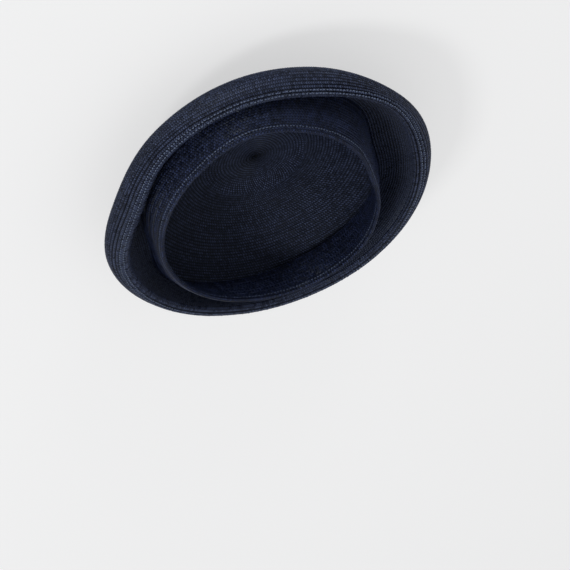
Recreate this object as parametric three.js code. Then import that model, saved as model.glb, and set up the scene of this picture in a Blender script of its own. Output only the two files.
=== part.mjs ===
// A straw beret sewn from one long straw braid, lying on its crown with the head opening upward.
// Millimetres, +Z up. The flat tip of the crown rests on z = 0 and its centre is the origin.
// The wearer's brow sits at -Y and the hat's broad side is at -X.
import * as THREE from 'three';

// ---------------------------------------------------------------- driving dimensions
const WALL = 1.5;               // thickness of the sewn braid
const SEAM_GAP = 0.3;           // clearance between pieces that are stitched to each other

const TIP_RADIUS = 42;          // flat middle of the crown, which the hat rests on
const RIM_HEIGHT = 40;          // widest line of the hat above the tip
const SIDE_INSET = 28;          // half-widths of the oval that rounds the side into the crown
const SIDE_DEPTH = 16;
const SIDE_TURN = 41;           // degrees of that oval in use, below which the dome carries on
const DOME_POWER = 1.5;         // how the dome steepens from the flat tip toward the side

const LIP_RISE = 12;            // lip above the widest line
const FOLD_RADIUS = 2.5;        // bend where the lip turns down into the under-brim
const ROOT_DROP = 9;            // under-brim's inner edge below the widest line

const BAND_RISE = 24;           // head opening's edge above the widest line
const HEM_DEPTH = 5;            // doubled edge of the headband
const HEM_EXTRA = 0.8;          // extra thickness of the hem, on the inside

// The hat is pressed by hand, so its rings aren't circles. One row for each section round the
// hat: degrees from +X toward +Y, radius of the widest line, its lift above RIM_HEIGHT, how far
// the lip reaches inward from it, radius of the headband's root, and radius of the opening.
const SECTIONS = [
  { azimuth: 0, rim: 124.0, lift: 0.5, lip: 14.0, root: 92.0, opening: 87.5 },
  { azimuth: 30, rim: 122.5, lift: 0.5, lip: 13.0, root: 106.5, opening: 87.0 },
  { azimuth: 60, rim: 118.5, lift: 0.5, lip: 13.5, root: 101.0, opening: 86.0 },
  { azimuth: 90, rim: 117.0, lift: 0.5, lip: 14.0, root: 94.0, opening: 85.0 },
  { azimuth: 120, rim: 118.0, lift: 0.5, lip: 14.5, root: 90.0, opening: 82.0 },
  { azimuth: 150, rim: 118.0, lift: -0.5, lip: 14.5, root: 86.0, opening: 75.0 },
  { azimuth: 180, rim: 117.5, lift: -1.5, lip: 14.5, root: 79.5, opening: 69.0 },
  { azimuth: 210, rim: 114.0, lift: 1.0, lip: 6.5, root: 88.5, opening: 74.0 },
  { azimuth: 240, rim: 113.5, lift: -2.0, lip: 13.0, root: 91.0, opening: 82.5 },
  { azimuth: 270, rim: 115.5, lift: -2.5, lip: 12.5, root: 96.0, opening: 92.5 },
  { azimuth: 300, rim: 114.5, lift: -2.0, lip: 11.5, root: 93.0, opening: 88.5 },
  { azimuth: 330, rim: 114.5, lift: 0.0, lip: 15.5, root: 95.0, opening: 87.0 },
];

// ---------------------------------------------------------------- fineness of the facets
const AROUND = 72;              // steps round the hat
const DOME_STEPS = 5;
const SIDE_STEPS = 3;
const LIP_STEPS = 5;
const FOLD_STEPS = 3;
const UNDER_STEPS = 6;
const BAND_STEPS = 3;

const HALF_PI = Math.PI / 2;
const RIM_COLUMNS = ['rim', 'lift', 'lip', 'root', 'opening'];

// ---------------------------------------------------------------- the hat's section

/** Smooth periodic curve through one column of SECTIONS, at an angle in radians. */
function columnAt(column, angle) {
  const count = SECTIONS.length;
  const place = (THREE.MathUtils.euclideanModulo(angle, 2 * Math.PI) / (2 * Math.PI)) * count;
  const row = Math.floor(place);
  const t = place - row;
  const [before, from, to, after] = [-1, 0, 1, 2].map(
    (step) => SECTIONS[(row + step + count) % count][column]);
  const slopeFrom = (to - before) / 2;
  const slopeTo = (after - from) / 2;
  const t2 = t * t;
  const t3 = t2 * t;
  return (2 * t3 - 3 * t2 + 1) * from + (t3 - 2 * t2 + t) * slopeFrom
    + (3 * t2 - 2 * t3) * to + (t3 - t2) * slopeTo;
}

/** All the columns at one angle, with the heights that follow from them. */
function sectionAt(angle) {
  const row = Object.fromEntries(RIM_COLUMNS.map((name) => [name, columnAt(name, angle)]));
  row.rimZ = RIM_HEIGHT + row.lift;
  row.lipRadius = row.rim - row.lip;
  row.lipZ = row.rimZ + LIP_RISE;
  row.foldZ = row.lipZ - FOLD_RADIUS;
  row.rootZ = RIM_HEIGHT - ROOT_DROP;
  row.openingZ = RIM_HEIGHT + BAND_RISE;
  return row;
}

/** Evenly spaced values from 0 to 1, both ends included. */
function fractions(steps) {
  return Array.from({ length: steps + 1 }, (_, i) => i / steps);
}

/** Visible face of the crown in one section: flat tip, dome, side, lip and fold, as (r, z). */
function crownFace(row) {
  const turn = THREE.MathUtils.degToRad(SIDE_TURN);
  const side = fractions(SIDE_STEPS).map((f) => {
    const t = turn * (1 - f);
    return new THREE.Vector2(
      row.rim - SIDE_INSET * (1 - Math.cos(t)), row.rimZ - SIDE_DEPTH * Math.sin(t));
  });
  const shoulder = side[0];
  const dome = fractions(DOME_STEPS).slice(0, -1).map((f) => new THREE.Vector2(
    TIP_RADIUS + (shoulder.x - TIP_RADIUS) * f, shoulder.y * f ** DOME_POWER));
  const lipWidth = row.lip - FOLD_RADIUS;
  const lip = fractions(LIP_STEPS).slice(1).map((f) => {
    const t = HALF_PI * f;
    return new THREE.Vector2(
      row.rim - lipWidth * (1 - Math.cos(t)), row.rimZ + LIP_RISE * Math.sin(t));
  });
  const fold = fractions(FOLD_STEPS).slice(1).map((f) => {
    const t = HALF_PI * f;
    return new THREE.Vector2(
      row.lipRadius + FOLD_RADIUS * (1 - Math.sin(t)), row.foldZ + FOLD_RADIUS * Math.cos(t));
  });
  return [...dome, ...side, ...lip, ...fold];
}

/** Visible face of the under-brim in one section, from below the fold in to the headband. */
function underBrimFace(row) {
  const top = row.foldZ - SEAM_GAP;
  return fractions(UNDER_STEPS).map((f) => {
    const t = HALF_PI * f;
    return new THREE.Vector2(
      row.lipRadius - (row.lipRadius - row.root) * (1 - Math.cos(t)),
      top - (top - row.rootZ) * Math.sin(t));
  });
}

/**
 * Closed outline of a wall in one section: its face, then the same line one wall behind it.
 * The seam is the end of the face that is cut level, to meet the next piece: 0 is its first
 * point and face.length - 1 its last.
 */
function wallOutline(face, seam) {
  const back = face.map((point, i) => {
    if (i === seam) return new THREE.Vector2(point.x + WALL, point.y);
    const before = face[Math.max(i - 1, 0)];
    const after = face[Math.min(i + 1, face.length - 1)];
    const along = after.clone().sub(before).normalize();
    return new THREE.Vector2(point.x - along.y * WALL, point.y + along.x * WALL);
  });
  return [...face, ...back.reverse()];
}

/** Outline of the crown's wall in one section, cut level below the fold. */
function crownOutline(row) {
  const face = crownFace(row);
  return wallOutline(face, face.length - 1);
}

/** Outline of the under-brim's wall in one section, cut level below the fold. */
function underBrimOutline(row) {
  return wallOutline(underBrimFace(row), 0);
}

/** Closed outline of the upright headband in one section, with its hem turned to the inside. */
function headbandOutline(row) {
  const foot = new THREE.Vector2(row.root - SEAM_GAP, row.rootZ - WALL);
  const start = new THREE.Vector2(row.root - SEAM_GAP, row.rootZ);
  const edge = new THREE.Vector2(row.opening, row.openingZ);
  const along = edge.clone().sub(start).normalize();
  const inward = new THREE.Vector2(-along.y, along.x);
  const hemStart = edge.clone().addScaledVector(along, -HEM_DEPTH);
  const outside = fractions(BAND_STEPS).map((f) => start.clone().lerp(hemStart, f));
  const inside = outside.map((point) => point.clone().addScaledVector(inward, WALL));
  const hemInside = [hemStart, edge].map(
    (point) => point.clone().addScaledVector(inward, WALL + HEM_EXTRA));
  return [foot, ...outside, edge, hemInside[1], hemInside[0], ...inside.reverse(),
    new THREE.Vector2(foot.x - WALL, foot.y)];
}

// ---------------------------------------------------------------- solids from sections

/** Angles of the sections round the hat. */
function anglesAround() {
  return Array.from({ length: AROUND }, (_, i) => (2 * Math.PI * i) / AROUND);
}

/** Vertex rings from an outline function, one outline for each section. */
function ringsOf(outlineAt) {
  return anglesAround().map((angle) => outlineAt(sectionAt(angle)).map((point) => [
    point.x * Math.cos(angle), point.x * Math.sin(angle), point.y]));
}

/** Indexed geometry from vertices and triangles. */
function geometryFrom(vertices, triangles) {
  const geometry = new THREE.BufferGeometry();
  geometry.setAttribute('position', new THREE.Float32BufferAttribute(vertices.flat(), 3));
  geometry.setIndex(triangles.flat());
  geometry.computeVertexNormals();
  return geometry;
}

/** Triangles of the skin between neighbouring sections, for the outline's sides in a list. */
function skin(perRing, sides) {
  const triangles = [];
  for (let i = 0; i < AROUND; i += 1) {
    const here = i * perRing;
    const next = ((i + 1) % AROUND) * perRing;
    for (const [a, b] of sides) {
      triangles.push([here + a, next + a, next + b], [here + a, next + b, here + b]);
    }
  }
  return triangles;
}

/** A ring-shaped wall, closed all round its section. */
function ringSolid(outlineAt) {
  const rings = ringsOf(outlineAt);
  const perRing = rings[0].length;
  const sides = Array.from({ length: perRing }, (_, k) => [k, (k + 1) % perRing]);
  return geometryFrom(rings.flat(), skin(perRing, sides));
}

/** The crown: a wall whose outline stops at the flat tip, which two discs then close. */
function crownSolid() {
  const rings = ringsOf(crownOutline);
  const perRing = rings[0].length;
  const vertices = rings.flat().map(([x, y, z], index) => {
    const k = index % perRing;
    if (k === 0) return [x, y, 0];
    if (k === perRing - 1) return [x, y, WALL];
    return [x, y, z];
  });
  const sides = Array.from({ length: perRing - 1 }, (_, k) => [k, k + 1]);
  const triangles = skin(perRing, sides);
  const outerCentre = vertices.length;
  const innerCentre = outerCentre + 1;
  vertices.push([0, 0, 0], [0, 0, WALL]);
  for (let i = 0; i < AROUND; i += 1) {
    const here = i * perRing;
    const next = ((i + 1) % AROUND) * perRing;
    triangles.push([outerCentre, next, here]);
    triangles.push([innerCentre, here + perRing - 1, next + perRing - 1]);
  }
  return geometryFrom(vertices, triangles);
}

// ---------------------------------------------------------------- the hat

const NAVY_STRAW = new THREE.MeshStandardMaterial({ color: 0x1c2238, roughness: 0.55, metalness: 0 });
const NAVY_BAND = new THREE.MeshStandardMaterial({ color: 0x161b2e, roughness: 0.6, metalness: 0 });

const PIECES = [
  { name: 'crown', geometry: crownSolid(), material: NAVY_STRAW },
  { name: 'under_brim', geometry: ringSolid(underBrimOutline), material: NAVY_STRAW },
  { name: 'headband', geometry: ringSolid(headbandOutline), material: NAVY_BAND },
];

const hat = new THREE.Group();
for (const { name, geometry, material } of PIECES) {
  const piece = new THREE.Mesh(geometry, material);
  piece.name = name;
  hat.add(piece);
}

export default hat;
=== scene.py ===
"""A navy straw beret, sewn row on row from one fine braid, lying on its crown.

The crown's flat tip rests on the floor and the head opening looks up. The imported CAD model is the
frame: each wall of the hat is rebuilt here over its CAD solid, with the rows of braid, the strands
of each row and the sewing as real relief. Lengths are in metres and the axes are the frame's.
"""

import logging
import math
from dataclasses import dataclass, field, fields, replace
from enum import Enum

import bpy
import numpy as np
from bpy.types import ID, Material, Node, NodeSocket, NodeTree, Object
from mathutils import Matrix, Vector

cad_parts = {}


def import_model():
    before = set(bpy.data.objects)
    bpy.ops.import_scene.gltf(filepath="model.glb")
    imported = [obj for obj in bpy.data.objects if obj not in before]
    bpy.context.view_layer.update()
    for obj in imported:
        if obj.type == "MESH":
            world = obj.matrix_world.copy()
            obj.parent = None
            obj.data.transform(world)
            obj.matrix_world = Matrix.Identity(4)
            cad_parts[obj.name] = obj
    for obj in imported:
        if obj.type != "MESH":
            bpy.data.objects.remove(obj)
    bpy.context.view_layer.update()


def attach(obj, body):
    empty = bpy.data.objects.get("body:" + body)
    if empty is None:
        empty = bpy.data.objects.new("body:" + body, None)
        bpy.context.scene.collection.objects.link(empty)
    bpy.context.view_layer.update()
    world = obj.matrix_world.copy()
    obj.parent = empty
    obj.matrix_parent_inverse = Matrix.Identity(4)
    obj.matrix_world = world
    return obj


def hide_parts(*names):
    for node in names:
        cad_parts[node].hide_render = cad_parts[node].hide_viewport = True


LOG = logging.getLogger("straw_beret")
MM = 0.001
TURN = 2.0 * math.pi
ROUNDING = 1e-6

# Power that makes a pressed or gathered patch even in the middle and steep at its edges.
PATCH_POWER = 4

# Row numbers kept for the face of a wall before those of its back, and for a course of the dome.
# No two rows of the hat share a number, so their straws differ.
BACK_NUMBERS, COURSE_NUMBERS = 25, 50


def add_object(name: str, data: ID) -> Object:
    """Makes an object and links it to the scene.

    Args:
        name: the object's name.
        data: its mesh, light or camera.

    Returns:
        The new object.
    """
    obj = bpy.data.objects.new(name, data)
    bpy.context.scene.collection.objects.link(obj)
    return obj


# ------------------------------------------------------------------------------ the hat's form


@dataclass(frozen=True)
class RimSection:
    """One section of the hat, at an azimuth in degrees from +X toward +Y. Sizes in millimetres.

    Attributes:
        azimuth: where the section is.
        rim: radius of the hat's widest line.
        lift: height of that line above the form's rim height.
        lip: how far the rolled lip reaches inward from the widest line.
        root: radius at which the headband meets the under-brim.
        opening: radius of the head opening's edge.
    """

    azimuth: float
    rim: float
    lift: float
    lip: float
    root: float
    opening: float


SECTIONS = (
    RimSection(azimuth=0, rim=124.0, lift=0.5, lip=14.0, root=92.0, opening=87.5),
    RimSection(azimuth=30, rim=122.5, lift=0.5, lip=13.0, root=106.5, opening=87.0),
    RimSection(azimuth=60, rim=118.5, lift=0.5, lip=13.5, root=101.0, opening=86.0),
    RimSection(azimuth=90, rim=117.0, lift=0.5, lip=14.0, root=94.0, opening=85.0),
    RimSection(azimuth=120, rim=118.0, lift=0.5, lip=14.5, root=90.0, opening=82.0),
    RimSection(azimuth=150, rim=118.0, lift=-0.5, lip=14.5, root=86.0, opening=75.0),
    RimSection(azimuth=180, rim=117.5, lift=-1.5, lip=14.5, root=79.5, opening=69.0),
    RimSection(azimuth=210, rim=114.0, lift=1.0, lip=6.5, root=88.5, opening=74.0),
    RimSection(azimuth=240, rim=113.5, lift=-2.0, lip=13.0, root=91.0, opening=82.5),
    RimSection(azimuth=270, rim=115.5, lift=-2.5, lip=12.5, root=96.0, opening=92.5),
    RimSection(azimuth=300, rim=114.5, lift=-2.0, lip=11.5, root=93.0, opening=88.5),
    RimSection(azimuth=330, rim=114.5, lift=0.0, lip=15.5, root=95.0, opening=87.0),
)


class Zone(Enum):
    """Stretches of the hat's section line, named from the middle of the crown outward."""

    TIP = "tip"
    DOME_LOW = "dome_low"
    DOME_HIGH = "dome_high"
    SHOULDER = "shoulder"
    SIDE = "side"
    LIP = "lip"
    UNDER_BRIM = "under_brim"
    HEADBAND = "headband"


@dataclass(frozen=True)
class Around:
    """The hat's sizes at some angles round it, in millimetres, each of shape (angle,).

    Attributes:
        rim: radius of the widest line.
        rim_z: height of the widest line.
        lip: how far the lip reaches inward from it.
        root: radius at which the headband meets the under-brim.
        opening: radius of the head opening's edge.
        steps: points along each curve.
    """

    rim: np.ndarray
    rim_z: np.ndarray
    lip: np.ndarray
    root: np.ndarray
    opening: np.ndarray
    steps: int


@dataclass(frozen=True)
class HatForm:
    """The hat's section line at any angle round it, from a few driving sizes in millimetres.

    Attributes:
        wall: thickness of the sewn braid.
        tip_radius: flat middle of the crown.
        rim_height: widest line above the tip.
        side_inset: radial half-width of the oval that rounds the side into the crown.
        side_depth: height of that oval.
        side_turn: degrees of the oval in use before the dome carries on.
        dome_power: how the dome steepens from the tip toward the side.
        lip_rise: lip above the widest line.
        fold_radius: bend where the lip turns down into the under-brim.
        root_drop: under-brim's inner edge below the widest line.
        band_rise: head opening's edge above the widest line.
        hem_depth: height of the headband's doubled edge.
        hem_extra: what the hem adds to the headband's thickness.
        hem_fade: height over which that thickness runs out.
        dome_cuts: where the dome's pieces of braid meet, as shares of the shoulder's radius.
        dome_tuck: how far each of them runs on under the next, as a share of that radius.
        side_tuck: how far the last rows run on under the side, as a share of side_turn.
    """

    wall: float = 1.5
    tip_radius: float = 42.0
    rim_height: float = 40.0
    side_inset: float = 28.0
    side_depth: float = 16.0
    side_turn: float = 41.0
    dome_power: float = 1.5
    lip_rise: float = 12.0
    fold_radius: float = 2.5
    root_drop: float = 9.0
    band_rise: float = 24.0
    hem_depth: float = 5.0
    hem_extra: float = 0.8
    hem_fade: float = 1.5
    dome_cuts: tuple[float, float, float] = (0.34, 0.62, 0.81)
    dome_tuck: float = 0.003
    side_tuck: float = 0.03

    def column(self, name: str, angles: np.ndarray) -> np.ndarray:
        """Smooth periodic curve through one column of SECTIONS.

        Args:
            name: the column.
            angles: radians, any shape.

        Returns:
            The column's value at each angle, in millimetres.
        """
        values = np.array([getattr(row, name) for row in SECTIONS])
        count = len(values)
        place = np.mod(angles, TURN) / TURN * count
        row = np.floor(place).astype(int)
        t = place - row
        before, start, end, after = (values[(row + step) % count] for step in (-1, 0, 1, 2))
        leave, arrive = (end - before) / 2, (after - start) / 2
        return ((2 * t**3 - 3 * t**2 + 1) * start + (t**3 - 2 * t**2 + t) * leave
                + (3 * t**2 - 2 * t**3) * end + (t**3 - t**2) * arrive)

    def line(self, zone: Zone, angles: np.ndarray, steps: int = 160) -> np.ndarray:
        """The visible section line of one zone.

        Args:
            zone: the stretch of the section.
            angles: radians, one dimension.
            steps: points along each curve of the line.

        Returns:
            An array (point, angle, 2) of radius and height in metres, ordered from the middle of
            the crown toward the head opening.
        """
        rim, lift, lip, root, opening = (self.column(name, angles) for name in
                                         ("rim", "lift", "lip", "root", "opening"))
        at = Around(rim, self.rim_height + lift, lip, root, opening, steps)
        tip, low, high = self.dome_cuts
        makers = {
            Zone.TIP: lambda: self._dome(at, 0.0, tip + self.dome_tuck),
            Zone.DOME_LOW: lambda: self._dome(at, tip, low + self.dome_tuck),
            Zone.DOME_HIGH: lambda: self._dome(at, low, high + self.dome_tuck),
            Zone.SHOULDER: lambda: self._shoulder(at),
            Zone.SIDE: lambda: self._side(at),
            Zone.LIP: lambda: self._lip(at),
            Zone.UNDER_BRIM: lambda: self._under_brim(at),
            Zone.HEADBAND: lambda: self._headband(at),
        }
        return makers[zone]() * MM

    def table(self, zone: Zone) -> "SectionTable":
        """The zone's section line, measured along its length."""
        return SectionTable(self, zone)

    def _side_arc(self, at: Around, turns: np.ndarray) -> np.ndarray:
        """Points of the oval that rounds the side into the crown.

        Args:
            at: the sizes round the hat.
            turns: turns along the oval from the widest line, in radians.

        Returns:
            An array (point, angle, 2) of radius and height, as each of the next methods gives.
        """
        t = turns[:, None]
        return np.stack([at.rim - self.side_inset * (1 - np.cos(t)),
                         at.rim_z - self.side_depth * np.sin(t)], axis=2)

    def _dome(self, at: Around, first: float, last: float) -> np.ndarray:
        """Tip and dome between two radii.

        Args:
            at: the sizes round the hat.
            first: the inner radius, as a share of the shoulder's.
            last: the outer radius, as a share of the shoulder's.

        Returns:
            Points of radius and height.
        """
        shoulder = self._side_arc(at, np.array([math.radians(self.side_turn)]))[0]
        radius = shoulder[:, 0] * np.linspace(first, last, at.steps * 2)[:, None]
        rise = np.clip((radius - self.tip_radius) / (shoulder[:, 0] - self.tip_radius), 0.0, 1.0)
        return np.stack([radius, shoulder[:, 1] * rise**self.dome_power], axis=2)

    def _shoulder(self, at: Around) -> np.ndarray:
        """The dome's last rows, which run a little way under the side.

        Args:
            at: the sizes round the hat.

        Returns:
            Points of radius and height.
        """
        shares = np.linspace(1.0, 1.0 - self.side_tuck, at.steps // 4)[1:]
        past = self._side_arc(at, math.radians(self.side_turn) * shares)
        return np.concatenate([self._dome(at, self.dome_cuts[2], 1.0), past])

    def _side(self, at: Around) -> np.ndarray:
        """Side from the shoulder to the widest line."""
        return self._side_arc(at, math.radians(self.side_turn) * np.linspace(1, 0, at.steps))

    def _lip(self, at: Around) -> np.ndarray:
        """The rolled lip above the widest line, and its fold.

        Args:
            at: the sizes round the hat.

        Returns:
            Points of radius and height.
        """
        t = (math.pi / 2 * np.linspace(0, 1, at.steps))[:, None]
        roll = np.stack([at.rim - (at.lip - self.fold_radius) * (1 - np.cos(t)),
                         at.rim_z + self.lip_rise * np.sin(t)], axis=2)
        fold_z = at.rim_z + self.lip_rise - self.fold_radius
        fold = np.stack([at.rim - at.lip + self.fold_radius * (1 - np.sin(t)),
                         fold_z + self.fold_radius * np.cos(t)], axis=2)
        return np.concatenate([roll, fold[1:]])

    def _under_brim(self, at: Around) -> np.ndarray:
        """The channel's floor, from below the fold in to the headband.

        Args:
            at: the sizes round the hat.

        Returns:
            Points of radius and height.
        """
        edge = at.rim - at.lip
        top = at.rim_z + self.lip_rise - self.fold_radius
        floor = self.rim_height - self.root_drop
        t = (math.pi / 2 * np.linspace(0, 1, at.steps))[:, None]
        return np.stack([edge - (edge - at.root) * (1 - np.cos(t)),
                         top - (top - floor) * np.sin(t)], axis=2)

    def _headband(self, at: Around) -> np.ndarray:
        """Up the headband's outside, over its hemmed edge and down its inside.

        Args:
            at: the sizes round the hat.

        Returns:
            Points of radius and height.
        """
        foot_z = self.rim_height - self.root_drop - self.wall
        half = (self.wall + self.hem_extra) / 2
        shelf_z = self.rim_height + self.band_rise - half
        height, reach = shelf_z - foot_z, at.opening - at.root
        level = np.zeros(at.root.shape)
        f = np.linspace(0.0, 1.0, at.steps)[:, None]
        outside = np.stack([at.root + reach * f, foot_z + height * f + level], axis=2)
        t = (math.pi * np.linspace(0, 1, at.steps // 2))[1:-1, None]
        over = np.stack([at.opening - half * (1 - np.cos(t)),
                         shelf_z + half * np.sin(t) + level], axis=2)
        hem = np.clip((self.hem_depth - height * f) / self.hem_fade, 0.0, 1.0)
        inside = np.stack([at.root + reach * (1 - f) - self.wall - self.hem_extra * hem,
                           foot_z + height * (1 - f) + level], axis=2)
        return np.concatenate([outside, over, inside])


class SectionTable:
    """One zone's section line at evenly spaced angles and fractions of its length."""

    ANGLES = 360
    FRACTIONS = 400

    def __init__(self, form: HatForm, zone: Zone) -> None:
        """Measures the zone's line along its length at every angle of the table.

        Args:
            form: the hat's form.
            zone: the stretch of the section.
        """
        angles = np.linspace(0.0, TURN, self.ANGLES + 1)
        line = form.line(zone, angles)
        self.zone = zone
        steps = np.linalg.norm(np.diff(line, axis=0), axis=2)
        along = np.concatenate([np.zeros((1, len(angles))), np.cumsum(steps, axis=0)])
        fractions = np.linspace(0.0, 1.0, self.FRACTIONS + 1)
        self.points = np.empty((len(fractions), len(angles), 2))
        for k in range(len(angles)):
            places = fractions * along[-1, k]
            for axis in (0, 1):
                self.points[:, k, axis] = np.interp(places, along[:, k], line[:, k, axis])
        tangent = np.gradient(self.points, axis=0)
        tangent /= np.linalg.norm(tangent, axis=2, keepdims=True)
        self.normals = np.stack([tangent[..., 1], -tangent[..., 0]], axis=2)
        self.length = float(along[-1].mean())

    def place(self, angles: np.ndarray, fractions: np.ndarray,
              proud: float = 0.0) -> tuple[np.ndarray, np.ndarray]:
        """Points on the zone's surface.

        Args:
            angles: radians.
            fractions: place along the section line, 0 to 1.
            proud: how far the points stand off the surface, in metres.

        Returns:
            Positions and outward directions, each with a last axis of x, y, z.
        """
        a = np.mod(angles, TURN) / TURN * self.ANGLES
        f = np.clip(fractions, 0.0, 1.0) * self.FRACTIONS
        a0 = np.minimum(a.astype(int), self.ANGLES - 1)
        f0 = np.minimum(f.astype(int), self.FRACTIONS - 1)
        wa, wf = (a - a0)[..., None], (f - f0)[..., None]

        def blend(table: np.ndarray) -> np.ndarray:
            """Bilinear value of a table at the asked places.

            Args:
                table: values at every fraction and angle.

            Returns:
                The values at the places.
            """
            low = table[f0, a0] * (1 - wa) + table[f0, a0 + 1] * wa
            high = table[f0 + 1, a0] * (1 - wa) + table[f0 + 1, a0 + 1] * wa
            return low * (1 - wf) + high * wf

        def turned(flat: np.ndarray) -> np.ndarray:
            """Radius and height swung round to each angle."""
            return np.stack([flat[..., 0] * np.cos(angles), flat[..., 0] * np.sin(angles),
                             flat[..., 1]], axis=-1)

        out = blend(self.normals)
        return turned(blend(self.points) + out * proud), turned(out)


# ------------------------------------------------------------------------------ sewn braid


@dataclass(frozen=True)
class RowSection:
    """One row of lapped braid in section, sampled across its width.

    Attributes:
        phases: places across the row, 0 at the tucked edge and 1 at the next row.
        plies: how strongly the plait's strands stand up at those places. They lie flat at the
            edge and in the middle of the row, where they cross.
    """

    phases: tuple[float, ...]
    plies: tuple[float, ...]


FACE_ROW = RowSection(phases=(0.0, 0.12, 0.30, 0.50, 0.70, 0.90),
                      plies=(0.0, 0.7, 1.0, 0.0, 1.0, 0.7))
FLAT_ROW = RowSection(phases=(0.0, 0.25, 0.50, 0.75), plies=(0.0, 1.0, 0.0, 1.0))
PLAIN_ROW = RowSection(phases=(0.0, 0.5), plies=(0.0, 0.0))


def nearness(angles: np.ndarray, azimuth: float, spread: float) -> np.ndarray:
    """How near each angle is to an azimuth: 1 there, and 0 well past the spread in degrees."""
    off = np.mod(np.degrees(angles) - azimuth + 180.0, 360.0) - 180.0
    return np.exp(-(off / spread) ** PATCH_POWER)


@dataclass(frozen=True)
class Press:
    """A patch where the iron has flattened some rows, or left them standing.

    Attributes:
        azimuth: middle of the patch, in degrees.
        spread: half of its width, in degrees.
        first: first row of the patch.
        last: last row of the patch.
        share: the rows' height in the middle of the patch, as a share of what it is elsewhere.
    """

    azimuth: float
    spread: float
    first: int
    last: int
    share: float


@dataclass(frozen=True)
class Relief:
    """Heights of the sewn surface, in metres.

    Attributes:
        lap: how far a row stands above the groove beside it.
        ply: half the height from the top of a strand to the dip between two.
        waver: how far the rows wander to and fro, as a share of a row.
        rows: share of the lap in each row, or nothing where all are alike.
        presses: patches with other heights.
    """

    lap: float = 0.42 * MM
    ply: float = 0.21 * MM
    waver: float = 0.08
    rows: tuple[float, ...] = ()
    presses: tuple[Press, ...] = ()

    def laps(self, row: np.ndarray, angles: np.ndarray) -> np.ndarray:
        """Height of the lap at each place.

        Args:
            row: row number, ring by column.
            angles: radians, ring by column.

        Returns:
            Lap heights in metres.
        """
        share = np.ones(angles.shape)
        if self.rows:
            share *= np.array(self.rows)[np.minimum(row, len(self.rows) - 1)]
        for press in self.presses:
            near = nearness(angles, press.azimuth, press.spread)
            pressed = (row >= press.first) & (row <= press.last)
            share *= 1.0 + (press.share - 1.0) * (near * pressed)
        return self.lap * share


@dataclass(frozen=True)
class Gather:
    """Where the first rows of a stretch crowd together and the last ones spread.

    Attributes:
        azimuth: middle of the place, in degrees.
        spread: half of its width, in degrees.
        amount: how much narrower the first row is there, as a share.
    """

    azimuth: float
    spread: float
    amount: float

    def moved(self, share: np.ndarray, angles: np.ndarray) -> np.ndarray:
        """The new place, 0 to 1, of a share of the stretch at angles in radians."""
        near = nearness(angles, self.azimuth, self.spread)
        return share - self.amount * near * share * (1.0 - share)


HIDDEN = Relief(lap=0.30 * MM, ply=0.0)
RIPPLE_WAVES = (3, 5, 8, 13, 21)
RIPPLE_DRIFT = 0.9
RIPPLE_GAIN = 1.6


def ripple(angles: np.ndarray, rows: np.ndarray, seed: int) -> np.ndarray:
    """A slow periodic wave round the hat that changes from row to row.

    Args:
        angles: radians.
        rows: place across the rows, broadcast against the angles.
        seed: chooses the wave.

    Returns:
        Values of about -1 to 1.
    """
    chance = np.random.default_rng(seed)
    total = np.zeros(np.broadcast(angles, rows).shape)
    for waves in RIPPLE_WAVES:
        start, drift = chance.uniform(0.0, TURN), chance.uniform(-RIPPLE_DRIFT, RIPPLE_DRIFT)
        total = total + np.sin(waves * angles + start + drift * rows)
    return total / len(RIPPLE_WAVES) * RIPPLE_GAIN


@dataclass
class Rings:
    """Rings of vertices across some rows, with what the braid needs to know at each vertex.

    Attributes:
        spots: positions (ring, column, 3).
        out: outward directions (ring, column, 3).
        phase: place across the row.
        strand: place along the row, in strands.
        lap: height of the lap, in metres.
        ply: height of the strands, in metres.
        across: place across all the rows of each ring (ring, column).
        start: number of the first strand of each ring's row, for the braid coordinates (ring).
    """

    spots: np.ndarray
    out: np.ndarray
    phase: np.ndarray
    strand: np.ndarray
    lap: np.ndarray
    ply: np.ndarray
    across: np.ndarray
    start: np.ndarray

    def flipped(self) -> "Rings":
        """The same rings in the opposite order."""
        return Rings(*(getattr(self, f.name)[::-1] for f in fields(self)))

    def rows(self) -> np.ndarray:
        """Number of the row that each ring belongs to, rounding errors left aside."""
        return np.floor(self.across[:, 0] + ROUNDING)

    @staticmethod
    def joined(parts: "list[Rings]") -> "Rings":
        """Several sets of rings, one after another."""
        return Rings(*(np.concatenate([getattr(p, f.name) for p in parts])
                       for f in fields(Rings)))


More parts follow.
